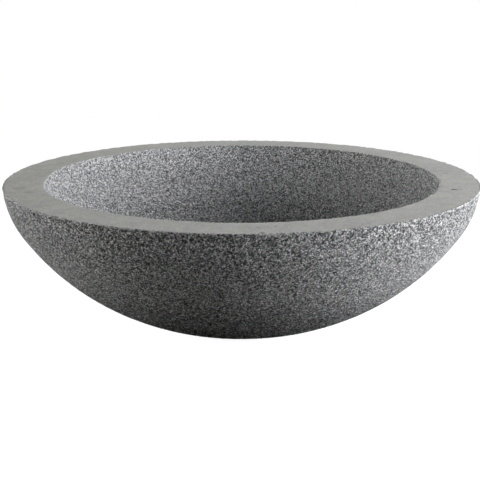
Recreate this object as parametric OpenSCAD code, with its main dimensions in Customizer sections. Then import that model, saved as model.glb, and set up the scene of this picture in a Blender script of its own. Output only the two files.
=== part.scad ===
// Cast concrete bowl planter: a shallow, thick-walled bowl with its steel reinforcement, a
// plastic drain sleeve closed by a rubber plug, and four rubber foot pads.
// Millimetres, +Z up, origin on the ground under the centre of the bowl.

/* [Bowl] */
// Outside diameter at the rim
rim_d = 900; // [840:10:980]
// Height of the concrete, from foot to rim
bowl_h = 280; // [265:5:310]
// Thickness of the wall, which is also the width of the flat rim
wall_t = 75; // [70:1:82]
// Diameter of the flat foot
foot_d = 254; // [240:2:290]
// Diameter of the flat floor inside
floor_d = 200; // [180:2:230]
// Lean of the wall at the rim, in degrees from upright
rim_lean = 2.5; // [1:0.5:5]
// Radius of the tight curve under the rim
shoulder_r = 162; // [145:1:180]
// Angle that the tight curve turns through, in degrees
shoulder_sweep = 31; // [28:1:35]
// Chamfer on both edges of the rim
arris = 2; // [1:0.5:4]

/* [Reinforcement] */
// Diameter of the five hoops
hoop_d = 8; // [6:1:9]
// Diameter of the eight bent wall bars
bar_d = 6; // [5:1:7]
// Wire that ties each bar to each hoop
tie_d = 1.2; // [0.8:0.2:1.6]
// Concrete between the bars and the outside of the wall
bar_cover = 31; // [28:1:34]
// Depth of the top hoop below the rim
rim_hoop_depth = 40; // [36:1:44]
// Length of bar left above the top hoop
bar_above_hoop = 10; // [6:1:14]
// Diameter of the lowest hoop, on its centre line
floor_hoop_d = 170; // [160:2:184]
// Diameter of the circle on which the bars end, under the floor
bar_foot_d = 128; // [110:2:140]
// Cement left between a bar, a hoop and their tie
paste = 0.5; // [0.5:0.1:0.8]

/* [Drain] */
// Outside diameter of the cast-in sleeve
sleeve_d = 44; // [42:1:48]
// Bore of the sleeve below the plug
drain_d = 34; // [28:1:35]
// Bore of the seat that the plug fills
seat_d = 38; // [37:1:39]
// Depth of the seat
seat_depth = 27; // [24:1:32]
// Diameter of the sleeve's flange, flush with the floor
flange_d = 64; // [60:1:70]
// Thickness of the sleeve's flange and of the plug's cap
flange_t = 3; // [2:0.5:4]
// Diameter of the plug's cap
cap_d = 54; // [50:1:56]
// Radial clearance of the plug's sealing ribs in the seat
rib_fit = 0.05; // [0.02:0.01:0.1]
// Height of the pull tab above the cap
tab_h = 20; // [16:1:24]
// Width of the pull tab
tab_w = 22; // [18:1:26]
// Thickness of the pull tab
tab_t = 5; // [4:0.5:7]
// Hole in the pull tab
tab_hole_d = 9; // [6:0.5:11]

/* [Foot pads] */
// Diameter of a pad
pad_d = 40; // [30:1:44]
// Thickness of a pad
pad_t = 6; // [5:0.5:8]
// Depth of the recess that holds a pad
pad_recess = 3; // [2:0.5:4]
// Radius of the circle that the pads stand on
pad_circle_r = 95; // [85:1:96]

/* [Hidden] */
hoop_names = ["rim_hoop", "shoulder_hoop", "belly_hoop", "foot_hoop", "floor_hoop"];
bar_count = 8;
pad_count = 4;
$fn = 120;
rod_fn = 32;

// Unit vector at an angle below the horizontal, in the plane of radius and height
function below(angle) = [cos(angle), -sin(angle)];

// The outside of the wall is two arcs that meet without a corner: the shoulder, and the body
// that runs on from it to the edge of the foot.
foot_z = pad_t - pad_recess;
rim_z = foot_z + bowl_h;
shoulder_end = rim_lean + shoulder_sweep;
shoulder_c = [rim_d / 2, rim_z] - shoulder_r * below(rim_lean);
joint_to_foot = shoulder_c + shoulder_r * below(shoulder_end) - [foot_d / 2, foot_z];
body_r = (joint_to_foot * joint_to_foot) / (2 * joint_to_foot * below(shoulder_end));
body_c = shoulder_c + (shoulder_r - body_r) * below(shoulder_end);
floor_z = body_c[1] - sqrt(pow(body_r - wall_t, 2) - pow(floor_d / 2 - body_c[0], 2));

// The cage follows the body's arc all the way up. Point at a depth inside that arc, and the angles
// at which a depth inside it comes to a height and to a radius.
function in_wall(depth, angle) = body_c + (body_r - depth) * below(angle);
function angle_at_height(depth, height) = asin((body_c[1] - height) / (body_r - depth));
function angle_at_radius(depth, radius) = acos((radius - body_c[0]) / (body_r - depth));

// The hoops lie against the inner side of the bars, evenly spaced from under the rim to the floor.
bar_depth = bar_cover + bar_d / 2;
hoop_depth = bar_depth + bar_d / 2 + paste + hoop_d / 2;
hoop_gaps = len(hoop_names) - 1;
hoop_top = angle_at_height(hoop_depth, rim_z - rim_hoop_depth);
hoop_bottom = angle_at_radius(hoop_depth, floor_hoop_d / 2);
hoop_angles = [for (i = [0:hoop_gaps]) hoop_top + (hoop_bottom - hoop_top) * i / hoop_gaps];
bar_top = angle_at_height(bar_depth, rim_z - rim_hoop_depth + bar_above_hoop);
bar_foot = angle_at_radius(bar_depth, bar_foot_d / 2);

// A tie is a closed loop set across a crossing of bar and hoop at this slant.
tie_slant = 45;
tie_depth = (bar_depth - bar_d / 2 + hoop_depth + hoop_d / 2) / 2;
tie_r = (bar_d + paste + hoop_d) / 2 + paste + tie_d / 2;

// The plug's sealing ribs, and the room left under its stem
rib_h = 2.5;
rib_stand = 0.8;
plug_gap = 2;

// What is cut or joined runs on past the face or the angle where it ends by this much
eps = 1;
slice_overlap = 10;

// Slice of a disc between two angles below the horizontal
module sector(centre, radius, from, to) {
    reach = 2 * radius;
    intersection() {
        translate(centre) circle(radius);
        polygon([centre, centre + reach * below(from), centre + reach * below(to)]);
    }
}

// All that lies within the wall's outside moved in by depth, between two heights
module within_wall(depth, low, high) {
    intersection() {
        translate([0, low]) square([rim_d, high - low]);
        union() {
            sector(shoulder_c, shoulder_r - depth, -slice_overlap, shoulder_end + slice_overlap);
            sector(body_c, body_r - depth, shoulder_end, 90);
            translate([0, low]) square([max(body_c[0], 0) + eps, high - low]);
        }
    }
}

// Edge of the rim taken off at 45 degrees, on the outside (side = 1) or the inside (side = -1)
module arris_cut(x, side) {
    translate([x, rim_z])
        polygon([
            [-side * arris, 0], [-side * arris, eps], [side * eps, eps], [side * eps, -arris], [0, -arris]
        ]);
}

module sleeve_outline() {
    translate([0, foot_z]) square([sleeve_d / 2, floor_z - foot_z]);
    translate([0, floor_z - flange_t]) square([flange_d / 2, flange_t]);
}

module bowl_section() {
    difference() {
        within_wall(0, foot_z, rim_z);
        within_wall(wall_t, floor_z, rim_z + eps);
        sleeve_outline();
        arris_cut(rim_d / 2, 1);
        arris_cut(rim_d / 2 - wall_t, -1);
    }
}

module hoop_rod(angle) {
    at = in_wall(hoop_depth, angle);
    translate([0, 0, at[1]]) rotate_extrude() translate([at[0], 0]) circle(d = hoop_d, $fn = rod_fn);
}

module bar_rod(i) {
    rotate([0, 0, (i - 0.5) * 360 / bar_count]) translate([body_c[0], 0, body_c[1]])
        rotate([90, 0, 0]) rotate([0, 0, -bar_foot]) rotate_extrude(angle = bar_foot - bar_top)
            translate([body_r - bar_depth, 0]) circle(d = bar_d, $fn = rod_fn);
}

module tie_loops() {
    for (i = [1:bar_count], angle = hoop_angles) {
        at = in_wall(tie_depth, angle);
        rotate([0, 0, (i - 0.5) * 360 / bar_count]) translate([at[0], 0, at[1]]) rotate([0, angle, 0])
            rotate([tie_slant, 0, 0]) rotate_extrude($fn = rod_fn)
                translate([tie_r, 0]) circle(d = tie_d, $fn = 16);
    }
}

module pad_disc(i) {
    rotate([0, 0, (i - 0.5) * 360 / pad_count])
        translate([pad_circle_r, 0, 0]) cylinder(d = pad_d, h = pad_t);
}

module concrete_bowl() {
    color([0.58, 0.58, 0.55]) difference() {
        rotate_extrude() bowl_section();
        for (i = [1:pad_count]) pad_disc(i);
        for (angle = hoop_angles) hoop_rod(angle);
        for (i = [1:bar_count]) bar_rod(i);
        tie_loops();
    }
}

module hoop(i) {
    color([0.45, 0.42, 0.39]) hoop_rod(hoop_angles[i]);
}

module wall_bar(i) {
    color([0.45, 0.42, 0.39]) bar_rod(i);
}

module tie_wires() {
    color([0.35, 0.34, 0.33]) tie_loops();
}

module drain_sleeve() {
    color([0.35, 0.36, 0.37]) rotate_extrude() difference() {
        sleeve_outline();
        translate([0, foot_z - eps]) square([drain_d / 2, floor_z - foot_z + 2 * eps]);
        translate([0, floor_z - seat_depth]) square([seat_d / 2, seat_depth + eps]);
    }
}

// Ribbed stopper, cap and pull tab, moulded in one
module drain_plug() {
    stem_len = seat_depth - plug_gap;
    stem_r = seat_d / 2 - rib_fit - rib_stand;
    color([0.12, 0.12, 0.12]) {
        rotate_extrude() union() {
            translate([0, floor_z - stem_len]) square([stem_r, stem_len + eps]);
            for (k = [0.25, 0.75])
                translate([0, floor_z - stem_len * k - rib_h / 2]) square([seat_d / 2 - rib_fit, rib_h]);
            translate([0, floor_z]) square([cap_d / 2, flange_t]);
        }
        translate([0, tab_t / 2, floor_z + flange_t]) rotate([90, 0, 0]) linear_extrude(tab_t) difference() {
            union() {
                translate([-tab_w / 2, -eps]) square([tab_w, tab_h - tab_w / 2 + eps]);
                translate([0, tab_h - tab_w / 2]) circle(d = tab_w);
            }
            translate([0, tab_h - tab_w / 2]) circle(d = tab_hole_d);
        }
    }
}

module foot_pad(i) {
    color([0.10, 0.10, 0.10]) pad_disc(i);
}

concrete_bowl();
for (i = [0:hoop_gaps])
    hoop(i);
for (i = [1:bar_count])
    wall_bar(i);
tie_wires();
drain_sleeve();
drain_plug();
for (i = [1:pad_count])
    foot_pad(i);
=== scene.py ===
"""Concrete bowl planter: a blasted concrete casting with a trowelled rim, in metres, +Z up."""

import math
import random

import bpy
import bmesh
from mathutils import Matrix, Vector


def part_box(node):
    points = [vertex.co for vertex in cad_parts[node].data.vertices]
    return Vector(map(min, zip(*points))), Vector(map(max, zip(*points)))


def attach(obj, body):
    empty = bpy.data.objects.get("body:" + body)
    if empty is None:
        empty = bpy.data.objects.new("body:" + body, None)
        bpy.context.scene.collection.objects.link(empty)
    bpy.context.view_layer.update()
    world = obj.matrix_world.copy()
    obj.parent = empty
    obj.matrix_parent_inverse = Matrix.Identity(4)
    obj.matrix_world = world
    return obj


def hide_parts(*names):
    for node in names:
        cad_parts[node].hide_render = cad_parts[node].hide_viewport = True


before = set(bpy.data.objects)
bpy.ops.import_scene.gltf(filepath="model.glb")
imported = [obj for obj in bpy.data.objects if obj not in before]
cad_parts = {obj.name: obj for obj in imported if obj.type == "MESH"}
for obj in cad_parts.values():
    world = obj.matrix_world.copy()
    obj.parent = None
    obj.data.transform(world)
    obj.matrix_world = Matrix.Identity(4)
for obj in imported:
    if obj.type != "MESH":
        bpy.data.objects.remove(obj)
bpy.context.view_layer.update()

# --- The casting ----------------------------------------------------------------------------------
# One pour of concrete, cast rim down in a turned mould. Its walls are blasted with grit, which
# takes off the cement skin and leaves the granite sand standing proud. The foot stays as cast.
# Its outline is the arcs of the mould: a tight shoulder, and a broad body down to the foot.
foot_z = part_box("concrete_bowl")[0][2]
rim_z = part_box("concrete_bowl")[1][2]
rim_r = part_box("concrete_bowl")[1][0]
wall = 0.075
foot_r = 0.127
rim_lean = math.radians(2.5)
shoulder_end = rim_lean + math.radians(31)
shoulder_r = 0.162
flange_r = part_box("drain_sleeve")[1][0]
floor_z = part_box("drain_sleeve")[1][2]
flange_t = 0.003
sleeve_r = 0.022
# The blasted walls lie this far back from the face of the mould
blast_depth = 0.0009


def below(angle):
    """Unit vector of radius and height at an angle below the horizontal."""
    return Vector((math.cos(angle), -math.sin(angle)))


shoulder_c = Vector((rim_r, rim_z)) - shoulder_r * below(rim_lean)
to_foot = shoulder_c + shoulder_r * below(shoulder_end) - Vector((foot_r, foot_z))
body_r = to_foot.dot(to_foot) / (2 * to_foot.dot(below(shoulder_end)))
body_c = shoulder_c + (shoulder_r - body_r) * below(shoulder_end)


def wall_arc(depth, top, low, step):
    """Points down the wall's arcs moved in by depth, from one height to a lower one."""
    start = math.asin((shoulder_c.y - top) / (shoulder_r - depth))
    end = math.asin((body_c.y - low) / (body_r - depth))
    points = []
    for centre, radius, a, b in (
        (shoulder_c, shoulder_r - depth, start, shoulder_end),
        (body_c, body_r - depth, shoulder_end, end),
    ):
        count = max(2, round(radius * (b - a) / step))
        points += [centre + radius * below(a + (b - a) * i / count) for i in range(count)]
    return points + [body_c + (body_r - depth) * below(end)]


def straight(a, b, step):
    """Points from a up to but not including b."""
    a, b = Vector(a), Vector(b)
    count = max(1, round((b - a).length / step))
    return [a.lerp(b, i / count) for i in range(count)]


def section_mesh(name, points, masks):
    """Closed outline in the plane of radius and height. masks gives, for a point, how far the grit has
    worked there, how much film it has, which is painted light and shade on the sand, and how much of the
    arris it is."""
    mesh = bpy.data.meshes.new(name)
    edges = [(i, (i + 1) % len(points)) for i in range(len(points))]
    mesh.from_pydata([(p.x, 0, p.y) for p in points], edges, [])
    layer = mesh.attributes.new("masks", "FLOAT_VECTOR", "POINT")
    for i, point in enumerate(points):
        layer.data[i].vector = masks(point)
    section = bpy.data.objects.new(name, mesh)
    bpy.context.scene.collection.objects.link(section)
    return section


def place(tree, kind, inputs=None, **settings):
    """New node of a kind, with its settings; an input is a value, or a socket to link from."""
    node = tree.nodes.new(kind)
    for name, value in settings.items():
        setattr(node, name, value)
    for key, value in (inputs or {}).items():
        if isinstance(value, bpy.types.NodeSocket):
            tree.links.new(value, node.inputs[key])
        else:
            node.inputs[key].default_value = value
    return node


def maths(tree, operation, *values):
    """Output of a Math node on values or sockets."""
    return place(tree, "ShaderNodeMath", dict(enumerate(values)), operation=operation).outputs[0]


def times(tree, *factors):
    """Product of values or sockets."""
    product = factors[0]
    for factor in factors[1:]:
        product = maths(tree, "MULTIPLY", product, factor)
    return product


def ranged(tree, value, low, high, to_low, to_high):
    """Output that runs from to_low to to_high as value runs from low to high, and stops at both ends."""
    inputs = {0: value, 1: low, 2: high, 3: to_low, 4: to_high}
    return place(tree, "ShaderNodeMapRange", inputs, clamp=True).outputs[0]


def noise_at(tree, at, scale, detail=2.0, rough=0.5):
    """Even noise from 0 to 1 at a position."""
    inputs = {"Vector": at, "Scale": scale, "Detail": detail, "Roughness": rough}
    return place(tree, "ShaderNodeTexNoise", inputs).outputs[0]


def uneven(tree, *noise):
    """Noise as noise_at gives it, but about zero."""
    return maths(tree, "SUBTRACT", noise_at(tree, *noise), 0.5)


def split(tree, vector):
    """The three parts of a vector."""
    return place(tree, "ShaderNodeSeparateXYZ", {0: vector}).outputs


def scaled(tree, vector, factor):
    """A colour or a vector times a factor."""
    return place(tree, "ShaderNodeVectorMath", {0: vector, "Scale": factor}, operation="SCALE").outputs[0]


def new_sockets(tree, inputs, outputs):
    """Names the sockets of a node group: inputs as (name, kind, default), outputs as (name, kind)."""
    for name, kind, default in inputs:
        socket = tree.interface.new_socket(name, in_out="INPUT", socket_type="NodeSocket" + kind)
        if default is not None:
            socket.default_value = default
    for name, kind in outputs:
        tree.interface.new_socket(name, in_out="OUTPUT", socket_type="NodeSocket" + kind)


def stored_masks(tree):
    """In geometry nodes, the masks that the section has left on each point."""
    inputs = {"Name": "masks"}
    return place(tree, "GeometryNodeInputNamedAttribute", inputs, data_type="FLOAT_VECTOR").outputs[0]


def hand_over(tree, geometry, material):
    """Ends geometry nodes with real geometry of one material."""
    real = place(tree, "GeometryNodeRealizeInstances", {"Geometry": geometry}).outputs[0]
    done = place(tree, "GeometryNodeSetMaterial", {"Geometry": real, "Material": material}).outputs[0]
    place(tree, "NodeGroupOutput", {0: done})


def turning_tree():
    """Geometry nodes that turn a closed section round the upright axis, then wear it: pitted where the
    grit has been, uneven from the trowel, chipped at the arris, and with the air pits it is given."""
    tree = bpy.data.node_groups.new("Turned_casting", "GeometryNodeTree")
    new_sockets(
        tree,
        [
            ("Section", "Geometry", None),
            ("Turns", "Int", 512),
            ("Wear depth", "Float", 0.0006),
            ("Wear size", "Float", 0.012),
            ("Hand depth", "Float", 0.0004),
            ("Chip depth", "Float", 0.0),
            ("Chip size", "Float", 0.02),
            ("Pits", "Object", None),
            ("Pit radius", "Float", 0.002),
            ("Pit depth", "Float", 0.0),
            ("Material", "Material", None),
        ],
        [("Casting", "Geometry")],
    )
    given = place(tree, "NodeGroupInput").outputs
    turns = maths(tree, "ADD", given["Turns"], 1)
    count = place(tree, "GeometryNodeAttributeDomainSize", {0: given["Section"]}).outputs["Point Count"]
    rings = maths(tree, "ADD", count, 1)
    grid = place(tree, "GeometryNodeMeshGrid", {"Vertices X": rings, "Vertices Y": turns}).outputs["Mesh"]
    index = place(tree, "GeometryNodeInputIndex").outputs[0]
    ring = maths(tree, "FLOOR", maths(tree, "DIVIDE", maths(tree, "ADD", index, 0.5), turns))
    turn = maths(tree, "SUBTRACT", index, times(tree, ring, turns))
    angle = times(tree, maths(tree, "DIVIDE", turn, given["Turns"]), 2 * math.pi)
    on_section = maths(tree, "MODULO", ring, count)

    def from_section(value):
        inputs = {"Geometry": given["Section"], "Value": value, "Index": on_section}
        return place(tree, "GeometryNodeSampleIndex", inputs, data_type="FLOAT_VECTOR").outputs[0]

    position = place(tree, "GeometryNodeInputPosition").outputs[0]
    on_outline = split(tree, from_section(position))
    across = times(tree, on_outline["X"], maths(tree, "COSINE", angle))
    along = times(tree, on_outline["X"], maths(tree, "SINE", angle))
    around = place(tree, "ShaderNodeCombineXYZ", {0: across, 1: along, 2: on_outline["Z"]}).outputs[0]
    masked = place(
        tree,
        "GeometryNodeStoreNamedAttribute",
        {"Geometry": grid, "Name": "masks", "Value": from_section(stored_masks(tree))},
        data_type="FLOAT_VECTOR",
        domain="POINT",
    ).outputs[0]
    shaped = place(tree, "GeometryNodeSetPosition", {"Geometry": masked, "Position": around}).outputs[0]
    closed = place(tree, "GeometryNodeMergeByDistance", {"Geometry": shaped, "Distance": 2e-6}).outputs[0]

    worn, _, arris = split(tree, stored_masks(tree))
    grit = noise_at(tree, position, maths(tree, "DIVIDE", 1, given["Wear size"]), 1.5)
    deep = times(tree, grit, given["Wear depth"], worn)
    wavy = noise_at(tree, position, 9.0, 1.0)
    deep = maths(tree, "ADD", deep, times(tree, wavy, given["Hand depth"]))
    knocks = noise_at(tree, position, maths(tree, "DIVIDE", 1, given["Chip size"]), 3.0)
    knocks = ranged(tree, knocks, 0.45, 0.78, 0.0, 1.0)
    deep = maths(tree, "ADD", deep, times(tree, knocks, arris, given["Chip depth"]))
    pits = place(tree, "GeometryNodeObjectInfo", {"Object": given["Pits"]}, transform_space="RELATIVE")
    away = place(
        tree, "GeometryNodeProximity", {0: pits.outputs["Geometry"]}, target_element="POINTS"
    ).outputs["Distance"]
    pitted = ranged(tree, away, 0.0, given["Pit radius"], given["Pit depth"], 0.0)
    deep = maths(tree, "ADD", deep, pitted)
    normal = place(tree, "GeometryNodeInputNormal").outputs[0]
    inwards = scaled(tree, normal, times(tree, deep, -1))
    worn_down = place(tree, "GeometryNodeSetPosition", {"Geometry": closed, "Offset": inwards}).outputs[0]
    smooth = place(tree, "GeometryNodeSetShadeSmooth", {"Geometry": worn_down}).outputs[0]
    hand_over(tree, smooth, given["Material"])
    return tree


def give(modifier, tree, **values):
    """Sets a geometry nodes modifier's inputs, found by name, by their identifiers."""
    for item in tree.interface.items_tree:
        if item.item_type == "SOCKET" and item.in_out == "INPUT":
            key = item.name.lower().replace(" ", "_")
            if key in values:
                modifier[item.identifier] = values[key]


def made_real(source, name):
    """Plain mesh object of what source's modifiers make; source goes."""
    mesh = bpy.data.meshes.new_from_object(source.evaluated_get(bpy.context.evaluated_depsgraph_get()))
    mesh.name = name
    piece = bpy.data.objects.new(name, mesh)
    bpy.context.scene.collection.objects.link(piece)
    bpy.data.objects.remove(source)
    return piece


def turned(section, name, **values):
    """Turns a section into a piece of that name."""
    modifier = section.modifiers.new("Turn", "NODES")
    modifier.node_group = turning
    give(modifier, turning, **values)
    return made_real(section, name)


def blend_values(tree, amount, a, b):
    """a where amount is 0, b where it is 1."""
    return place(tree, "ShaderNodeMix", {0: amount, 2: a, 3: b}, data_type="FLOAT").outputs[0]


def blend_colours(tree, amount, a, b):
    """Colour a where amount is 0, b where it is 1."""
    return place(tree, "ShaderNodeMix", {0: amount, 6: a, 7: b}, data_type="RGBA").outputs[2]


def sum_of(tree, *terms):
    """Sum of (value, weight) pairs."""
    total = None
    for value, weight in terms:
        part = times(tree, value, weight)
        total = part if total is None else maths(tree, "ADD", total, part)
    return total


def cement_group():
    """Trowelled or cast cement: pale mottles, a fine sandy grain, hairline trowel lines, pinholes with
    painted shade in them.
    """
    tree = bpy.data.node_groups.new("Cement_skin", "ShaderNodeTree")
    new_sockets(
        tree,
        [
            ("Position", "Vector", None),
            ("Cement", "Color", (0.4, 0.4, 0.385, 1)),
            ("Mottle", "Float", 0.12),
            ("Pinholes", "Float", 0.5),
        ],
        [("Color", "Color"), ("Roughness", "Float"), ("Height", "Float")],
    )
    given = place(tree, "NodeGroupInput").outputs
    at = given["Position"]
    x, y, z = split(tree, at)
    radius = maths(tree, "ADD", maths(tree, "POWER", x, 2), maths(tree, "POWER", y, 2))
    radius = maths(tree, "SQRT", radius)
    turned_by = times(tree, maths(tree, "ARCTAN2", y, x), 0.06)
    swept = place(tree, "ShaderNodeCombineXYZ", {0: turned_by, 1: radius, 2: z}).outputs[0]
    clouds = uneven(tree, at, 14, 3.0)
    patches = uneven(tree, at, 55)
    sweep = uneven(tree, swept, 420, 2.0, 0.6)
    sand = uneven(tree, at, 380, 2.0, 0.7)
    grain = uneven(tree, at, 900, 2.0)
    tone = sum_of(tree, (clouds, 0.45), (patches, 0.25), (sweep, 0.12), (sand, 1.0), (grain, 1.0))
    light = maths(tree, "ADD", 1, times(tree, tone, given["Mottle"]))
    cells = place(tree, "ShaderNodeTexVoronoi", {"Vector": at, "Scale": 75.0}, feature="F1").outputs
    size = place(tree, "ShaderNodeSeparateColor", {0: cells["Color"]}).outputs[0]
    reach = ranged(tree, size, 0.75, 1.0, 0.0, 0.05)
    hole = ranged(tree, maths(tree, "SUBTRACT", cells["Distance"], reach), -0.015, 0.012, 1.0, 0.0)
    hole = times(tree, hole, given["Pinholes"])
    # Painted shade: the colour is darker in the pinholes.
    light = times(tree, light, maths(tree, "SUBTRACT", 1, times(tree, hole, 0.6)))
    height = sum_of(tree, (patches, 0.5), (sweep, 0.3), (sand, 0.6), (grain, 0.35), (hole, -2.0))
    place(
        tree,
        "NodeGroupOutput",
        {
            "Color": scaled(tree, given["Cement"], light),
            "Roughness": maths(tree, "ADD", 0.8, times(tree, tone, 0.25)),
            "Height": height,
        },
    )
    return tree


def grain_tone_group():
    """Tone of one grain of granite sand, from black mica to white quartz, for a chance from 0 to 1."""
    tree = bpy.data.node_groups.new("Grain_tone", "ShaderNodeTree")
    new_sockets(tree, [("Chance", "Float", 0.5), ("Lightness", "Float", 1.0)], [("Color", "Color")])
    given = place(tree, "NodeGroupInput").outputs
    ramp = place(tree, "ShaderNodeValToRGB", {0: given["Chance"]})
    cool, warm = (0.93, 0.995, 1.01), (1.0, 1.0, 0.95)
    stops = (
        (0.0, 0.01, cool),
        (0.3, 0.04, warm),
        (0.55, 0.1, cool),
        (0.74, 0.24, warm),
        (0.84, 0.5, cool),
        (0.93, 0.9, warm),
        (1.0, 1.2, cool),
    )
    while len(ramp.color_ramp.elements) < len(stops):
        ramp.color_ramp.elements.new(0.5)
    for element, (where, tone, tint) in zip(ramp.color_ramp.elements, stops):
        element.position = where
        element.color = (tone * tint[0], tone * tint[1], tone * tint[2], 1)
    paler = scaled(tree, ramp.outputs[0], given["Lightness"])
    palest = (0.95, 0.95, 0.95)
    capped = place(tree, "ShaderNodeVectorMath", {0: paler, 1: palest}, operation="MINIMUM").outputs[0]
    place(tree, "NodeGroupOutput", {0: capped})
    return tree


def place_group(tree, group, inputs):
    """Outputs of a node that uses a group."""
    return place(tree, "ShaderNodeGroup", inputs, node_tree=group).outputs


def sand_group():
    """Packed bed of blasted sand: coarse grains with finer ones among them, dark in the gaps as painted
    shade.
    """
    tree = bpy.data.node_groups.new("Blasted_sand", "ShaderNodeTree")
    new_sockets(
        tree,
        [("Position", "Vector", None), ("Grain size", "Float", 0.0022), ("Lightness", "Float", 1.0)],
        [("Color", "Color"), ("Roughness", "Float"), ("Height", "Float")],
    )
    given = place(tree, "NodeGroupInput").outputs
    at = given["Position"]
    fineness = maths(tree, "DIVIDE", 1, given["Grain size"])
    inputs = {"Vector": at, "Scale": times(tree, fineness, 1.6), "Detail": 1.0}
    jitter = place(tree, "ShaderNodeTexNoise", inputs).outputs["Color"]
    shift = scaled(tree, jitter, times(tree, given["Grain size"], 0.7))
    bent = place(tree, "ShaderNodeVectorMath", {0: at, 1: shift}, operation="ADD").outputs[0]
    inputs = {"Vector": bent, "Scale": fineness}
    grains = place(tree, "ShaderNodeTexVoronoi", inputs, feature="F1").outputs
    gaps = place(tree, "ShaderNodeTexVoronoi", inputs, feature="DISTANCE_TO_EDGE").outputs[0]
    inputs = {"Vector": bent, "Scale": times(tree, fineness, 2.4)}
    fines = place(tree, "ShaderNodeTexVoronoi", inputs, feature="F1").outputs
    chance = place(tree, "ShaderNodeSeparateColor", {0: grains["Color"]}).outputs
    fine_chance = place(tree, "ShaderNodeSeparateColor", {0: fines["Color"]}).outputs
    coarse = place_group(tree, grain_tone, {"Chance": chance[0], "Lightness": given["Lightness"]})[0]
    fine = place_group(tree, grain_tone, {"Chance": fine_chance[0], "Lightness": given["Lightness"]})[0]
    colour = blend_colours(tree, maths(tree, "LESS_THAN", chance[1], 0.35), coarse, fine)
    # Painted shade: the sand is painted darker towards the gaps between the grains.
    colour = scaled(tree, colour, ranged(tree, gaps, 0.0, 0.13, 0.35, 1.0))
    dome = maths(tree, "SUBTRACT", 1, times(tree, grains["Distance"], 1.1))
    height = times(tree, dome, maths(tree, "ADD", 0.45, chance[2]))
    place(
        tree,
        "NodeGroupOutput",
        {
            "Color": colour,
            "Roughness": maths(tree, "ADD", 0.45, times(tree, chance[2], 0.45)),
            "Height": sum_of(tree, (height, 1.0), (fines["Distance"], -0.25)),
        },
    )
    return tree


def on_object(tree):
    """In a material, position on the object."""
    return place(tree, "ShaderNodeTexCoord").outputs["Object"]


def tilted_position(tree, tilt=0.4):
    """Position on the object, turned so that no pattern lines up with its axes."""
    inputs = {"Vector": on_object(tree), "Rotation": (tilt, tilt * 0.7, 0)}
    return place(tree, "ShaderNodeMapping", inputs).outputs[0]


def new_material(name):
    """Empty material of that name, and its node tree."""
    material = bpy.data.materials.new(name)
    material.use_nodes = True
    return material, material.node_tree


def join_surface(tree, colour, roughness, height, relief, specular=0.0):
    """Joins a surface's colour, roughness and bump to its shader; relief is the depth of the bump.
    Blasted stone is dusty and broken up below what the bump shows, so it has no shine."""
    shader = tree.nodes["Principled BSDF"]
    shader.inputs["Specular IOR Level"].default_value = specular
    bump = place(tree, "ShaderNodeBump", {"Height": height, "Distance": relief, "Strength": 1.0})
    for value, socket in ((colour, "Base Color"), (roughness, "Roughness"), (bump.outputs[0], "Normal")):
        tree.links.new(value, shader.inputs[socket])
    return shader


cement_colour = (0.455, 0.457, 0.425, 1)
sand_size = 0.0020


def painted_masks(tree):
    """In a material, the masks of the surface: how far it is blasted, its film (painted light and shade),
    its arris.
    """
    return split(tree, place(tree, "ShaderNodeAttribute", attribute_name="masks").outputs["Vector"])


def painted_lightness(tree, painted_light):
    """Lightness of the sand from the film, which is painted light and shade: darkest, as painted shade,
    where there is no film.
    """
    return ranged(tree, painted_light, 0.0, 1.0, 0.6, 4.6)


def bared(tree, at, worn):
    """0 on the cement skin and 1 on the bared sand, with a ragged border between."""
    ragged = maths(tree, "ADD", worn, uneven(tree, at, 210.0, 3.0))
    return ranged(tree, ragged, 0.4, 0.56, 0.0, 1.0)


def concrete_material():
    """Cement skin where the grit hasn't been, and sand where it has."""
    material, tree = new_material("Concrete")
    at = tilted_position(tree)
    upright = on_object(tree)
    worn, painted_light, _ = painted_masks(tree)
    # The sand's lightness from the film is painted light and shade.
    inputs = {"Position": at, "Grain size": sand_size, "Lightness": painted_lightness(tree, painted_light)}
    sand = place_group(tree, blasted_sand, inputs)
    inputs = {"Position": upright, "Cement": cement_colour, "Mottle": 0.45}
    skin = place_group(tree, cement_skin, inputs)
    amount = bared(tree, at, worn)
    join_surface(
        tree,
        blend_colours(tree, amount, skin["Color"], sand["Color"]),
        blend_values(tree, amount, skin["Roughness"], sand["Roughness"]),
        blend_values(tree, amount, times(tree, skin["Height"], 0.08), sand["Height"]),
        relief=0.0025,
    )
    return material


turning = turning_tree()
cement_skin = cement_group()
grain_tone = grain_tone_group()
blasted_sand = sand_group()
concrete = concrete_material()

# The outline runs up the drain, over the floor and the inner wall, under the rim, and back down the
# outer wall and under the foot. Blasted faces take short steps, hidden or plain ones long steps.
top = rim_z - blast_depth
blasted_step, hidden_step, foot_step = 0.0046, 0.02, 0.008
outer = wall_arc(blast_depth, top, foot_z, blasted_step)
inner = wall_arc(wall - blast_depth, top, floor_z, blasted_step)
casting_points = straight((sleeve_r, foot_z), (sleeve_r, floor_z - flange_t), hidden_step)
casting_points += straight((sleeve_r, floor_z - flange_t), (flange_r, floor_z - flange_t), hidden_step)
casting_points += straight((flange_r, floor_z - flange_t), (flange_r, floor_z), hidden_step)
casting_points += straight((flange_r, floor_z), inner[-1], blasted_step)
casting_points += list(reversed(inner))
casting_points += straight(inner[0], outer[0], hidden_step)[1:]
casting_points += outer
casting_points += straight(outer[-1], (sleeve_r, foot_z), foot_step)[1:]

# The grit comes in over this height below the rim. The film is painted light and shade on the sand.
# Inside: its level at one height, and its rise with height, so the inner wall is painted paler higher up.
# Outside: its level above the line where painted shade starts, and how much of it the shoulder loses up
# to the rim, which is painted shade.
grit_edge = 0.004
inner_painted_light, inner_painted_light_z, inner_painted_light_rise = 0.32, 0.08, 6.1
outer_painted_light, painted_shade_line = 0.68, 0.154
shoulder_z, shoulder_painted_shade = 0.2, 0.19


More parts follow.
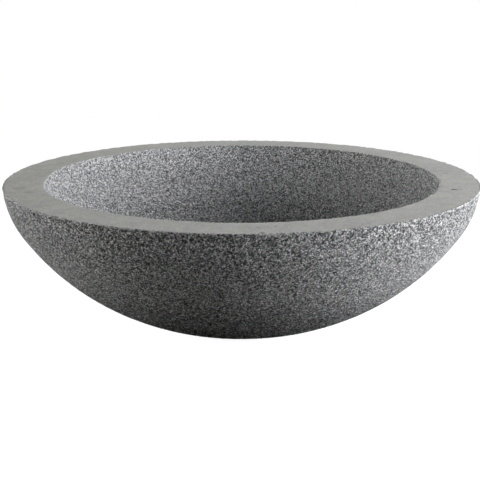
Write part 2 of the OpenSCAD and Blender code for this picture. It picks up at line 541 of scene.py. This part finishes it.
def casting_masks(point):
    """Full blasting from a little below the rim; the foot and the drain have none. The film is painted
    light and shade. There is more of it inside and high up, which is painted paler.
    There is next to none near the ground, where it paints the sand dark as painted shade."""
    if point.y < foot_z + 1e-4 or point.x < flange_r + 1e-4:
        return 0.0, 0.0, 0.0
    is_inside = point.x < shoulder_c.x or (point - shoulder_c).length < shoulder_r - wall / 2
    is_inside = is_inside and (point - body_c).length < body_r - wall / 2
    painted_light = inner_painted_light + (point.y - inner_painted_light_z) * inner_painted_light_rise
    if not is_inside:
        lost = shoulder_painted_shade * max(0.0, (point.y - shoulder_z) / (rim_z - shoulder_z))
        painted_light = outer_painted_light * min(1.0, point.y / painted_shade_line) ** 2 - lost
    painted_light = min(1.0, max(0.0, painted_light))
    return min(1.0, (rim_z - point.y) / grit_edge), painted_light, 0.0


casting = turned(
    section_mesh("casting_section", casting_points, casting_masks),
    "bowl_casting",
    turns=440,
    wear_depth=0.0005,
    wear_size=0.009,
    hand_depth=0.0004,
    material=concrete,
)
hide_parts("concrete_bowl")
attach(casting, "bowl")

# --- The rim --------------------------------------------------------------------------------------
# The top of the pour, struck off level and trowelled while it was wet, then masked from the grit.
# It is a smooth skin of cement and fine sand with softened edges, a few knocks and a few air pits.
# The trowel has pushed it a little way out over the inner wall.
rim_band = 0.0028
arris_r = 0.0012
rim_inset = 0.0003
inner_lip = 0.0012
trowel_step, edge_step, hidden_rim_step = 0.00125, 0.001, 0.012
rim_out = rim_r - rim_inset - arris_r
rim_in = rim_r - wall - inner_lip + arris_r
band_low = rim_z - rim_band


def quarter(centre, start, count):
    """Points round a quarter of the arris's curve, from an angle in degrees, clockwise."""
    turns = [math.radians(start - 90 * i / count) for i in range(count)]
    return [Vector(centre) + arris_r * Vector((math.cos(t), math.sin(t))) for t in turns]


outer_edge, inner_edge = rim_out + arris_r, rim_in - arris_r
rim_points = straight((outer_edge, band_low), (inner_edge, band_low), hidden_rim_step)
rim_points += straight((inner_edge, band_low), (inner_edge, rim_z - arris_r), edge_step)
rim_points += quarter((rim_in, rim_z - arris_r), 180, 4)
rim_points += straight((rim_in, rim_z), (rim_out, rim_z), trowel_step)
rim_points += quarter((rim_out, rim_z - arris_r), 90, 4)
rim_points += straight((outer_edge, rim_z - arris_r), (outer_edge, band_low), edge_step)

# How much the grit has bared just inside each edge, over what width that fades out, and the film there,
# which is painted light matching the wall below
outer_creep, outer_creep_w, outer_edge_painted_light = 0.8, 0.007, 0.49
inner_creep, inner_creep_w, inner_edge_painted_light = 0.55, 0.004, 1.0
knock_w = 0.005


def rim_masks(point):
    """The grit has bared the edges, and has crept under the mask along them. The arris takes the knocks
    within a few millimetres of the edge."""
    to_edge = min(outer_edge - point.x, point.x - inner_edge)
    creep, width, painted_light = outer_creep, outer_creep_w, outer_edge_painted_light
    if point.x <= rim_r - wall / 2:
        creep, width, painted_light = inner_creep, inner_creep_w, inner_edge_painted_light
    worn = 1.0 if point.y < rim_z - 1e-5 else max(0.0, creep - (to_edge - arris_r) / width)
    return worn, painted_light, min(1.0, max(0.0, 1 - to_edge / knock_w))


def polar(radius, degrees, height):
    """Point at a radius, an azimuth from +X, and a height."""
    a = math.radians(degrees)
    return Vector((radius * math.cos(a), radius * math.sin(a), height))


# A long air pit stands out on the right, and a small one at the front edge; the rest are scattered.
pit_mesh = bpy.data.meshes.new("rim_pits")
scatter = random.Random(6)
pit_places = [polar(0.4030, -17.9, rim_z), polar(0.4038, -17.5, rim_z), polar(0.4457, -86, rim_z)]
pit_places += [polar(scatter.uniform(0.382, 0.443), scatter.uniform(0, 360), rim_z) for _ in range(14)]
pit_mesh.from_pydata(pit_places, [], [])
pits = bpy.data.objects.new("rim_pits", pit_mesh)
bpy.context.scene.collection.objects.link(pits)


def smudge_group():
    """How deep a position lies in a soft stain of a given size, from 0 to 1."""
    tree = bpy.data.node_groups.new("Smudge", "ShaderNodeTree")
    new_sockets(
        tree,
        [("Position", "Vector", None), ("Centre", "Vector", None), ("Size", "Float", 0.008)],
        [("Amount", "Float")],
    )
    given = place(tree, "NodeGroupInput").outputs
    away = place(
        tree, "ShaderNodeVectorMath", {0: given["Position"], 1: given["Centre"]}, operation="DISTANCE"
    ).outputs["Value"]
    ragged = uneven(tree, given["Position"], 260, 3.0)
    edge = maths(tree, "ADD", away, times(tree, ragged, given["Size"]))
    core = times(tree, given["Size"], 0.4)
    place(tree, "NodeGroupOutput", {0: ranged(tree, edge, core, given["Size"], 1.0, 0.0)})
    return tree


def rim_material():
    """Trowelled cement with a faint shine, a few stains and painted shade in two air pits, fading at its
    edges into the blasted sand.
    """
    material, tree = new_material("Trowelled_rim")
    at = tilted_position(tree)
    upright = on_object(tree)
    worn, painted_light, _ = painted_masks(tree)
    inputs = {"Position": upright, "Cement": cement_colour, "Mottle": 0.9, "Pinholes": 0.6}
    skin = place_group(tree, cement_skin, inputs)
    # The sand's lightness from the film is painted light and shade.
    inputs = {"Position": at, "Grain size": sand_size, "Lightness": painted_lightness(tree, painted_light)}
    sand = place_group(tree, blasted_sand, inputs)
    colour = skin["Color"]
    # Dark spots on the cement. The one at -17.7 degrees lies in the long air pit and the one at -86
    # degrees in the pit at the front edge: these two are painted shade in the pits. The rest are stains.
    for radius, azimuth, size, depth in (
        (0.421, -165.3, 0.018, 0.16),
        (0.407, -159.5, 0.014, 0.13),
        (0.4015, 4.9, 0.006, 0.35),
        (0.4034, -17.7, 0.0065, 0.95),
        (0.4110, -17.4, 0.010, 0.2),
        (0.4420, -86.0, 0.006, 0.4),
    ):
        inputs = {"Position": upright, "Centre": polar(radius, azimuth, rim_z), "Size": size}
        stain = times(tree, place_group(tree, smudge, inputs)[0], depth)
        colour = scaled(tree, colour, maths(tree, "SUBTRACT", 1, stain))
    amount = bared(tree, at, worn)
    join_surface(
        tree,
        blend_colours(tree, amount, colour, sand["Color"]),
        blend_values(tree, amount, skin["Roughness"], sand["Roughness"]),
        blend_values(tree, amount, times(tree, skin["Height"], 0.25), sand["Height"]),
        relief=0.001,
        specular=0.04,
    )
    return material


smudge = smudge_group()
rim = turned(
    section_mesh("rim_section", rim_points, rim_masks),
    "rim_skin",
    turns=1280,
    wear_depth=0.0002,
    wear_size=0.008,
    hand_depth=0.0004,
    chip_depth=0.0022,
    chip_size=0.012,
    pits=pits,
    pit_radius=0.0034,
    pit_depth=0.0022,
    material=rim_material(),
)
bpy.data.objects.remove(pits)
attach(rim, "bowl")

# --- The exposed sand -----------------------------------------------------------------------------
# Crushed granite of 1.5 to 3 mm, mixed into the face of the concrete. The grit leaves each grain
# half bare and half bedded in cement, so the walls are rough to the hand.
grain_r = 0.0013
grain_sunk = 0.0003
sand_seed, tone_seed = 4, 77


def grain_mesh():
    """One crushed grain: an angular chip with a dozen faces, a little flatter than it is wide."""
    rough = bmesh.new()
    shaper = random.Random(sand_seed)
    for x in (-1, 1):
        for y in (-1, 1):
            for z in (-0.8, 0.8):
                corner = Vector((x, y, z)) + Vector([shaper.uniform(-0.4, 0.4) for _ in range(3)])
                rough.verts.new(corner.normalized() * shaper.uniform(0.85, 1.0))
    bmesh.ops.convex_hull(rough, input=rough.verts)
    bmesh.ops.triangulate(rough, faces=rough.faces)
    mesh = bpy.data.meshes.new("grain")
    rough.to_mesh(mesh)
    rough.free()
    grain = bpy.data.objects.new("grain", mesh)
    bpy.context.scene.collection.objects.link(grain)
    return grain


def drawn_value(tree, inputs):
    """In geometry nodes, a number drawn for each grain."""
    node = place(tree, "FunctionNodeRandomValue", inputs, data_type="FLOAT")
    return next(output for output in node.outputs if output.enabled)


def bedding_tree():
    """Geometry nodes that bed grains over the blasted part of one side of the casting, in one sector."""
    tree = bpy.data.node_groups.new("Bedded_grains", "GeometryNodeTree")
    new_sockets(
        tree,
        [
            ("Casting", "Geometry", None),
            ("Grain", "Object", None),
            ("Side", "Float", 1.0),
            ("From turn", "Float", 0.0),
            ("To turn", "Float", 1.0),
            ("Spacing", "Float", 0.004),
            ("Density", "Float", 60000.0),
            ("Radius", "Float", 0.0019),
            ("Sunk", "Float", 0.0005),
            ("Seed", "Int", 1),
            ("Material", "Material", None),
        ],
        [("Grains", "Geometry")],
    )
    given = place(tree, "NodeGroupInput").outputs
    normal = place(tree, "GeometryNodeInputNormal").outputs[0]
    x, y, _ = split(tree, place(tree, "GeometryNodeInputPosition").outputs[0])
    facing_x, facing_y, _ = split(tree, normal)
    outwards = maths(tree, "ADD", times(tree, x, facing_x), times(tree, y, facing_y))
    on_side = maths(tree, "GREATER_THAN", times(tree, outwards, given["Side"]), 0.0)
    turn = maths(tree, "DIVIDE", maths(tree, "ARCTAN2", y, x), 2 * math.pi)
    turn = maths(tree, "ADD", turn, 0.5)
    past_start = maths(tree, "GREATER_THAN", turn, given["From turn"])
    before_end = maths(tree, "LESS_THAN", turn, given["To turn"])
    worn = split(tree, stored_masks(tree))[0]
    bare = maths(tree, "GREATER_THAN", worn, 0.97)
    factor = times(tree, on_side, past_start, before_end, bare)
    sunk = scaled(tree, normal, times(tree, given["Sunk"], -1))
    inputs = {"Geometry": given["Casting"], "Offset": sunk}
    lowered = place(tree, "GeometryNodeSetPosition", inputs).outputs[0]
    beds = place(
        tree,
        "GeometryNodeDistributePointsOnFaces",
        {
            "Mesh": lowered,
            "Distance Min": given["Spacing"],
            "Density Max": given["Density"],
            "Density Factor": factor,
            "Seed": given["Seed"],
        },
        distribute_method="POISSON",
    ).outputs["Points"]
    full_turn = 6.283
    spin = place(
        tree,
        "FunctionNodeRandomValue",
        {"Min": (0, 0, 0), "Max": (full_turn, full_turn, full_turn), "Seed": given["Seed"]},
        data_type="FLOAT_VECTOR",
    ).outputs["Value"]
    size = drawn_value(tree, {"Min": 0.55, "Max": 1.0, "Seed": given["Seed"]})
    size = times(tree, size, given["Radius"])
    grain = place(tree, "GeometryNodeObjectInfo", {"Object": given["Grain"]}).outputs["Geometry"]
    bedded = place(
        tree,
        "GeometryNodeInstanceOnPoints",
        {"Points": beds, "Instance": grain, "Rotation": spin, "Scale": size},
    ).outputs[0]
    chance = drawn_value(tree, {"Seed": tone_seed})
    toned = place(
        tree,
        "GeometryNodeStoreNamedAttribute",
        {"Geometry": bedded, "Name": "chance", "Value": chance},
        data_type="FLOAT",
        domain="INSTANCE",
    ).outputs[0]
    hand_over(tree, toned, given["Material"])
    return tree


def grain_material():
    """Each grain has one tone, with a faint cloud over it, and is painted paler where the film puts
    painted light.
    """
    material, tree = new_material("Granite_grains")
    at = on_object(tree)
    chance = place(tree, "ShaderNodeAttribute", attribute_name="chance").outputs["Fac"]
    painted_light = painted_masks(tree)[1]
    # The grain's lightness from the film is painted light and shade.
    inputs = {"Chance": chance, "Lightness": painted_lightness(tree, painted_light)}
    colour = place_group(tree, grain_tone, inputs)[0]
    cloud = noise_at(tree, at, 800.0, 2.0)
    colour = scaled(tree, colour, ranged(tree, cloud, 0.3, 0.7, 0.75, 1.25))
    join_surface(tree, colour, ranged(tree, cloud, 0.3, 0.7, 0.4, 0.8), cloud, relief=0.0003)
    return material


grain = grain_mesh()
bedding = bedding_tree()
granite = grain_material()
for side, name, sectors, size in (
    (1.0, "outer_grains", 5, grain_r),
    (-1.0, "inner_grains", 3, 1.25 * grain_r),
):
    for part in range(sectors):
        bed = bpy.data.objects.new(name, casting.data)
        bpy.context.scene.collection.objects.link(bed)
        modifier = bed.modifiers.new("Bed", "NODES")
        modifier.node_group = bedding
        give(
            modifier,
            bedding,
            grain=grain,
            side=side,
            from_turn=part / sectors,
            to_turn=(part + 1) / sectors,
            spacing=2.4 * size,
            density=200000.0,
            radius=size,
            sunk=grain_sunk,
            seed=sand_seed + part,
            material=granite,
        )
        piece = made_real(bed, f"{name}_{part + 1}")
        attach(piece, "bowl")
bpy.data.objects.remove(grain)

# --- The reinforcement ----------------------------------------------------------------------------
# Plain round bars of mild steel, bent cold and tied with soft iron wire, all inside the concrete.
# They went in with the mill scale on and a bloom of rust, which the cement has since stopped.


def steel_group():
    """Mill scale with rust coming through it."""
    tree = bpy.data.node_groups.new("Rusted_scale", "ShaderNodeTree")
    new_sockets(
        tree,
        [("Position", "Vector", None), ("Rust", "Float", 0.5)],
        [("Color", "Color"), ("Roughness", "Float"), ("Height", "Float"), ("Bare", "Float")],
    )
    given = place(tree, "NodeGroupInput").outputs
    coarse = noise_at(tree, given["Position"], 70, 5.0, 0.6)
    fine = noise_at(tree, given["Position"], 900, 2.0)
    rusted = sum_of(tree, (coarse, 1.0), (fine, 0.3), (maths(tree, "SUBTRACT", given["Rust"], 0.65), 1.0))
    rusted = ranged(tree, rusted, 0.42, 0.6, 0.0, 1.0)
    scale = blend_colours(tree, fine, (0.10, 0.10, 0.11, 1), (0.17, 0.165, 0.165, 1))
    rust = blend_colours(tree, fine, (0.20, 0.075, 0.03, 1), (0.34, 0.15, 0.06, 1))
    place(
        tree,
        "NodeGroupOutput",
        {
            "Color": blend_colours(tree, rusted, scale, rust),
            "Roughness": blend_values(tree, rusted, 0.45, 0.9),
            "Height": sum_of(tree, (coarse, 0.5), (fine, 0.6)),
            "Bare": maths(tree, "SUBTRACT", 1, rusted),
        },
    )
    return tree


def steel_material(name, rust):
    """Steel that is metal where the scale is bare, and dull where it is rusted."""
    material, tree = new_material(name)
    at = on_object(tree)
    steel = place_group(tree, rusted_scale, {"Position": at, "Rust": rust})
    shader = join_surface(
        tree, steel["Color"], steel["Roughness"], steel["Height"], relief=0.0003, specular=0.5
    )
    tree.links.new(steel["Bare"], shader.inputs["Metallic"])
    return material


def dress(node, material):
    """Gives a CAD piece its material."""
    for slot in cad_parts[node].material_slots:
        slot.material = material


rusted_scale = steel_group()
bar_steel = steel_material("Bar_steel", 0.55)
wire_iron = steel_material("Tie_wire", 0.35)
for hoop in ("rim_hoop", "shoulder_hoop", "belly_hoop", "foot_hoop", "floor_hoop"):
    dress(hoop, bar_steel)
for number in range(1, 9):
    dress(f"wall_bar_{number}", bar_steel)
dress("tie_wires", wire_iron)

# --- The drain ------------------------------------------------------------------------------------
# A grey plastic sleeve is cast into the floor, with its flange flush. A ribbed stopper of black
# rubber closes it; the stopper is moulded in one with its cap and a pull tab.


def moulded_group():
    """Moulded skin of plastic or rubber: fine matt grain, flow marks, scuffs, and cement dust on top."""
    tree = bpy.data.node_groups.new("Moulded_skin", "ShaderNodeTree")
    new_sockets(
        tree,
        [
            ("Position", "Vector", None),
            ("Body", "Color", (0.1, 0.1, 0.1, 1)),
            ("Dust", "Float", 0.3),
            ("Shine", "Float", 0.4),
        ],
        [("Color", "Color"), ("Roughness", "Float"), ("Height", "Float")],
    )
    given = place(tree, "NodeGroupInput").outputs
    grain = noise_at(tree, given["Position"], 2400, 2.0)
    flow = noise_at(tree, given["Position"], 60, 3.0)
    dusty = ranged(tree, noise_at(tree, given["Position"], 160, 5.0, 0.65), 0.42, 0.68, 0.0, 1.0)
    dusty = times(tree, dusty, given["Dust"])
    body = scaled(tree, given["Body"], ranged(tree, flow, 0.3, 0.7, 0.8, 1.2))
    rough = ranged(tree, flow, 0.3, 0.7, 0.75, 0.95)
    rough = maths(tree, "SUBTRACT", rough, times(tree, given["Shine"], 0.5))
    place(
        tree,
        "NodeGroupOutput",
        {
            "Color": blend_colours(tree, dusty, body, (0.36, 0.355, 0.34, 1)),
            "Roughness": blend_values(tree, dusty, rough, 0.95),
            "Height": sum_of(tree, (grain, 0.4), (flow, 0.2), (dusty, 0.6)),
        },
    )
    return tree


def moulded_material(name, body, dust, shine):
    """Plastic or rubber of a body colour, with some dust and some shine."""
    material, tree = new_material(name)
    at = on_object(tree)
    skin = place_group(tree, moulded_skin, {"Position": at, "Body": body, "Dust": dust, "Shine": shine})
    join_surface(tree, skin["Color"], skin["Roughness"], skin["Height"], relief=0.0002, specular=0.2)
    return material


def softened(corners, radius, closed):
    """Outline with each corner rounded off over a length of radius along both of its sides."""
    corners = [Vector(c) for c in corners]
    points = []
    for i, corner in enumerate(corners):
        if not closed and i in (0, len(corners) - 1):
            points.append(corner)
            continue
        before, after = corners[i - 1], corners[(i + 1) % len(corners)]
        start = corner + (before - corner).normalized() * radius
        end = corner + (after - corner).normalized() * radius
        for t in (0.0, 0.3, 0.7, 1.0):
            points.append(start.lerp(corner, t).lerp(corner.lerp(end, t), t))
    return points


def moulded(name, outline, closed, turns):
    """Moulding spun from an outline in the plane of radius and height. An open one ends on the axis."""
    mould = bmesh.new()
    corners = [mould.verts.new((p.x, 0, p.y)) for p in outline]
    pairs = list(zip(corners, corners[1:])) + ([(corners[-1], corners[0])] if closed else [])
    profile = [mould.edges.new(pair) for pair in pairs]
    bmesh.ops.spin(
        mould, geom=corners + profile, cent=(0, 0, 0), axis=(0, 0, 1), angle=2 * math.pi, steps=turns
    )
    bmesh.ops.remove_doubles(mould, verts=mould.verts, dist=1e-6)
    bmesh.ops.recalc_face_normals(mould, faces=mould.faces)
    for face in mould.faces:
        face.smooth = True
    mesh = bpy.data.meshes.new(name)
    mould.to_mesh(mesh)
    mould.free()
    piece = bpy.data.objects.new(name, mesh)
    bpy.context.scene.collection.objects.link(piece)
    return piece


moulded_skin = moulded_group()
seat_r, bore_r, seat_depth = 0.019, 0.017, 0.027
sleeve = moulded(
    "sleeve_moulding",
    softened(
        [
            (flange_r, floor_z),
            (flange_r, floor_z - flange_t),
            (sleeve_r, floor_z - flange_t),
            (sleeve_r, foot_z),
            (bore_r, foot_z),
            (bore_r, floor_z - seat_depth),
            (seat_r, floor_z - seat_depth),
            (seat_r, floor_z),
        ],
        radius=0.0005,
        closed=True,
    ),
    closed=True,
    turns=120,
)
sleeve_grey = (0.24, 0.25, 0.26, 1)
sleeve.data.materials.append(moulded_material("Sleeve_plastic", sleeve_grey, dust=0.45, shine=0.5))
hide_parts("drain_sleeve")
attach(sleeve, "bowl")

# The stopper's stem has two sealing ribs. Its tab is a rounded tongue with a finger hole.
cap_r, cap_t = 0.027, 0.003
rib_r, stem_r, rib_h, rib_taper, stem_len = 0.01895, 0.01815, 0.0025, 0.0003, 0.025
stem_corners = [(0, floor_z + cap_t), (cap_r, floor_z + cap_t), (cap_r, floor_z), (stem_r, floor_z)]
for rib_z in (floor_z - stem_len / 4, floor_z - stem_len * 3 / 4):
    stem_corners += [(stem_r, rib_z + rib_h / 2), (rib_r, rib_z + rib_h / 2 - rib_taper)]
    stem_corners += [(rib_r, rib_z - rib_h / 2 + rib_taper), (stem_r, rib_z - rib_h / 2)]
stem_corners += [(stem_r, floor_z - stem_len), (0, floor_z - stem_len)]
stem_outline = softened(stem_corners, radius=0.0003, closed=False)
stopper = moulded("plug_moulding", stem_outline, closed=False, turns=120)

tab_w, tab_h, tab_t, tab_hole_r, tab_round = 0.022, 0.020, 0.005, 0.0045, 0.0008
tongue = bpy.data.curves.new("tab", "CURVE")
tongue.dimensions = "2D"
tongue.fill_mode = "BOTH"
tongue.extrude = tab_t / 2 - tab_round
tongue.bevel_depth = tab_round
tongue.bevel_resolution = 2
tongue.offset = -tab_round
eye_z = tab_h - tab_w / 2
tab_root = -0.001


def round_eye(radius, degrees, count):
    """Points round the eye of the tab, from the right over the top."""
    angles = [math.radians(degrees * i / count) for i in range(count + 1)]
    return [(radius * math.cos(a), eye_z + radius * math.sin(a)) for a in angles]


edge = round_eye(tab_w / 2, 180, 40) + [(-tab_w / 2, tab_root), (tab_w / 2, tab_root)]
for outline in (edge, round_eye(tab_hole_r, 360, 32)[:-1]):
    spline = tongue.splines.new("POLY")
    spline.points.add(len(outline) - 1)
    for point, (x, z) in zip(spline.points, outline):
        point.co = (x, z, 0, 1)
    spline.use_cyclic_u = True
tongue_curve = bpy.data.objects.new("tab", tongue)
bpy.context.scene.collection.objects.link(tongue_curve)
tab = made_real(tongue_curve, "plug_tab")
tab.data.transform(Matrix.Translation((0, 0, floor_z + cap_t)) @ Matrix.Rotation(math.pi / 2, 4, "X"))

plug_rubber = moulded_material("Plug_rubber", (0.022, 0.022, 0.023, 1), dust=0.12, shine=0.3)
welded = bmesh.new()
for part in (stopper, tab):
    welded.from_mesh(part.data)
bmesh.ops.remove_doubles(welded, verts=welded.verts, dist=1e-6)
for face in welded.faces:
    face.smooth = True
welded.to_mesh(stopper.data)
welded.free()
bpy.data.objects.remove(tab)
stopper.data.materials.append(plug_rubber)
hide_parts("drain_plug")
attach(stopper, "plug")

# --- The foot pads --------------------------------------------------------------------------------
# Four discs of black rubber, each pressed into a shallow recess in the foot, that keep the
# concrete off the paving and let the drain run. A groove in each tread lets water out.
pad_r, pad_t, pad_circle_r = 0.020, 0.006, 0.095
groove_out, groove_in, groove_depth, groove_side = 0.0155, 0.0125, 0.0012, 0.0007
tread = [(0, pad_t), (pad_r, pad_t), (pad_r, 0), (groove_out, 0)]
tread += [(groove_out - groove_side, groove_depth), (groove_in + groove_side, groove_depth)]
tread += [(groove_in, 0), (0, 0)]
pad_outline = softened(tread, radius=0.0004, closed=False)
pad_rubber = moulded_material("Pad_rubber", (0.02, 0.02, 0.02, 1), dust=0.5, shine=0.15)
for number in range(1, 5):
    pad = moulded(f"pad_moulding_{number}", pad_outline, closed=False, turns=64)
    where = polar(pad_circle_r, (number - 0.5) * 90, 0)
    pad.data.transform(Matrix.Translation(where))
    pad.data.materials.append(pad_rubber)
    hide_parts(f"foot_pad_{number}")
    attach(pad, "bowl")

# --- Floor, light and camera ----------------------------------------------------------------------
# A pale floor that fades into a white backdrop, large soft lights on the right, weaker ones on the
# left and behind, and the camera where the photographer stood, a little above the rim.
reach = 6
stage_mesh = bpy.data.meshes.new("floor")
stage_corners = [(-reach, -reach, 0), (reach, -reach, 0), (reach, reach, 0), (-reach, reach, 0)]
stage_mesh.from_pydata(stage_corners, [], [(0, 1, 2, 3)])
floor = bpy.data.objects.new("floor", stage_mesh)
bpy.context.scene.collection.objects.link(floor)


def seen_rays(tree):
    """1 for what is seen, by the camera or in a shiny or clear surface; 0 for light thrown on things."""
    rays = place(tree, "ShaderNodeLightPath").outputs
    mirrored = maths(tree, "MAXIMUM", rays["Is Glossy Ray"], rays["Is Transmission Ray"])
    return maths(tree, "MAXIMUM", rays["Is Camera Ray"], mirrored)


def paper_material():
    """White as it is seen, with the bowl's shadow kept; the light that it throws back is that of a dark,
    slightly warm grey."""
    material, tree = new_material("Floor_paper")
    tree.nodes.clear()
    seen = seen_rays(tree)
    at = on_object(tree)
    away = place(tree, "ShaderNodeVectorMath", {0: at}, operation="LENGTH").outputs["Value"]
    far = ranged(tree, away, 0.7, 1.6, 0.0, 1.0)
    plain = place(tree, "ShaderNodeBsdfDiffuse", {"Color": (0.145, 0.142, 0.128, 1)})
    glow = place(tree, "ShaderNodeEmission", {"Color": (1, 1, 1, 1), "Strength": 0.92})
    pale = place(tree, "ShaderNodeBsdfDiffuse", {"Color": (0.5, 0.5, 0.5, 1)})
    both = place(tree, "ShaderNodeAddShader", {0: pale.outputs[0], 1: glow.outputs[0]})
    white = place(tree, "ShaderNodeEmission", {"Color": (1, 1, 1, 1), "Strength": 1.0})
    faded = place(tree, "ShaderNodeMixShader", {0: far, 1: both.outputs[0], 2: white.outputs[0]})
    mixed = place(tree, "ShaderNodeMixShader", {0: seen, 1: plain.outputs[0], 2: faded.outputs[0]})
    place(tree, "ShaderNodeOutputMaterial", {0: mixed.outputs[0]})
    return material


floor.data.materials.append(paper_material())

world = bpy.data.worlds.new("Studio")
bpy.context.scene.world = world
world.use_nodes = True
tree = world.node_tree
tree.nodes.clear()
dim = place(tree, "ShaderNodeBackground", {"Color": (1, 1, 1, 1), "Strength": 0.015})
white = place(tree, "ShaderNodeBackground", {"Color": (1, 1, 1, 1), "Strength": 1.0})
sky = place(tree, "ShaderNodeMixShader", {0: seen_rays(tree), 1: dim.outputs[0], 2: white.outputs[0]})
place(tree, "ShaderNodeOutputWorld", {0: sky.outputs[0]})


lamp_distance, lamp_size, aim_z = 3.0, 1.6, 0.15
daylight, plain_white = (0.985, 0.988, 1.03), (1.0, 1.0, 1.0)


def soft_light(name, azimuth, elevation, watts, colour):
    """Square soft light aimed at the bowl; azimuth 0 is behind the camera, 90 is on the right."""
    lamp = bpy.data.lights.new(name, "AREA")
    lamp.shape = "SQUARE"
    lamp.size = lamp_size
    lamp.energy = watts
    lamp.color = colour
    a, e = math.radians(azimuth), math.radians(elevation)
    spot = Vector((math.sin(a) * math.cos(e), -math.cos(a) * math.cos(e), math.sin(e))) * lamp_distance
    spot.z += aim_z
    ob = bpy.data.objects.new(name, lamp)
    ob.rotation_euler = (spot - Vector((0, 0, aim_z))).to_track_quat("Z", "Y").to_euler()
    ob.location = spot
    bpy.context.scene.collection.objects.link(ob)


soft_light("key_light", 89, 8, 176, daylight)
soft_light("front_key_light", 60, 10, 54, daylight)
soft_light("high_light", 65, 32, 23, daylight)
soft_light("fill_light", -90, 8, 106, plain_white)
soft_light("back_light", 180, 12, 34, plain_white)

# The camera's place and lens, fitted to the two ellipses of the rim: it stands 4.3 rim radii away.
view_elevation = 0.191884
view_distance = 4.3 * rim_r
focal_px, centre_px = 1002.2, Vector((241.5, 176.6))
frame_px, roll = 480, 0.001156
view_from = Vector((0, -math.cos(view_elevation), math.sin(view_elevation))) * view_distance
pitch = math.atan((frame_px / 2 - centre_px.y) / focal_px)
yaw = math.atan((centre_px.x - frame_px / 2) / focal_px)
camera = bpy.data.cameras.new("camera")
camera.sensor_width = 36
camera.lens = focal_px * camera.sensor_width / frame_px
viewer = bpy.data.objects.new("camera", camera)
tilted = Matrix.Rotation(math.pi / 2 - view_elevation - pitch, 4, "X")
viewer.matrix_world = (
    Matrix.Translation(view_from + Vector((0, 0, rim_z)))
    @ Matrix.Rotation(yaw, 4, "Z") @ tilted @ Matrix.Rotation(-roll, 4, "Z")
)
bpy.context.scene.collection.objects.link(viewer)
bpy.context.scene.camera = viewer
bpy.context.scene.view_settings.view_transform = "Standard"
